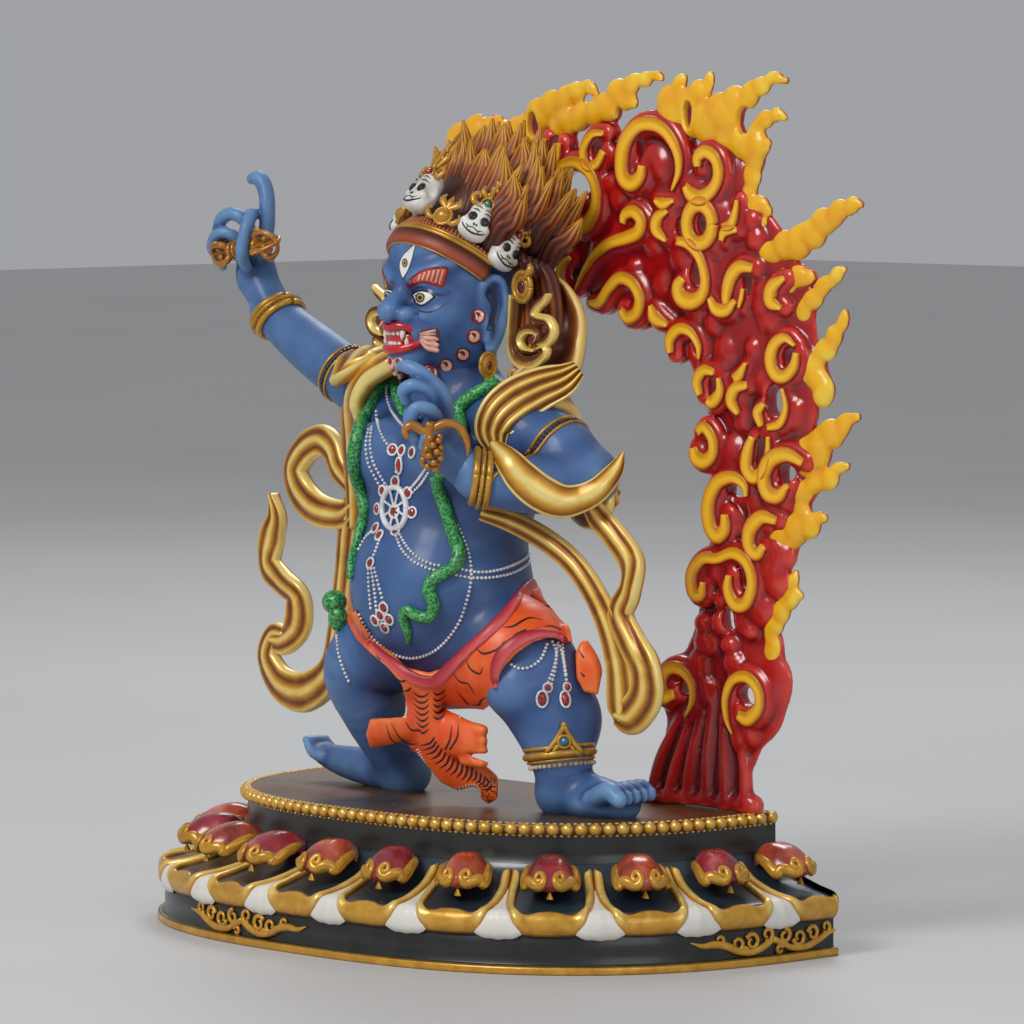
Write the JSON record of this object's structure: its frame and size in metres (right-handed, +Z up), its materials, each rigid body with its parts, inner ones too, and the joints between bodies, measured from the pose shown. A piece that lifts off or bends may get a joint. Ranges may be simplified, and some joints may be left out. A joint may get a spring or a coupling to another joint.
{
  "type": "wrathful deity statue",
  "caption": "Painted striding three-eyed figure with raised vajra, crown and scarves, before a flame aureole on a D-shaped lotus pedestal.",
  "frame": {"origin": "middle of the pedestal's flat underside", "axes": "+Z up, the figure faces -Y, its left side is +X, and the pedestal's flat back faces +Y"},
  "size_m": [0.3076, 0.1404, 0.3232],
  "materials": {
    "lotus_paint": "satin paint, dark grey-green wall with gold, white and red lotus petals",
    "blue_paint": "slate blue satin paint with a pale dry brush",
    "flame_lacquer": "glossy deep red lacquer with golden yellow flames",
    "antique_gold": "antique gold paint with brown wash",
    "skirt_paint": "orange tiger skin paint with dark stripes and pink hems",
    "hair_paint": "dark red-brown hair paint lifting to orange tips",
    "white_paint": "ivory white paint on skulls and beads",
    "snake_paint": "green scaled paint",
    "gem_paint": "dark red gem paint"
  },
  "bodies": {
    "root": {"pedestal": "lotus_paint", "figure": "blue_paint", "flame_aureole": "flame_lacquer", "vajra": "antique_gold", "noose_hook": "antique_gold"}
  },
  "joints": []
}
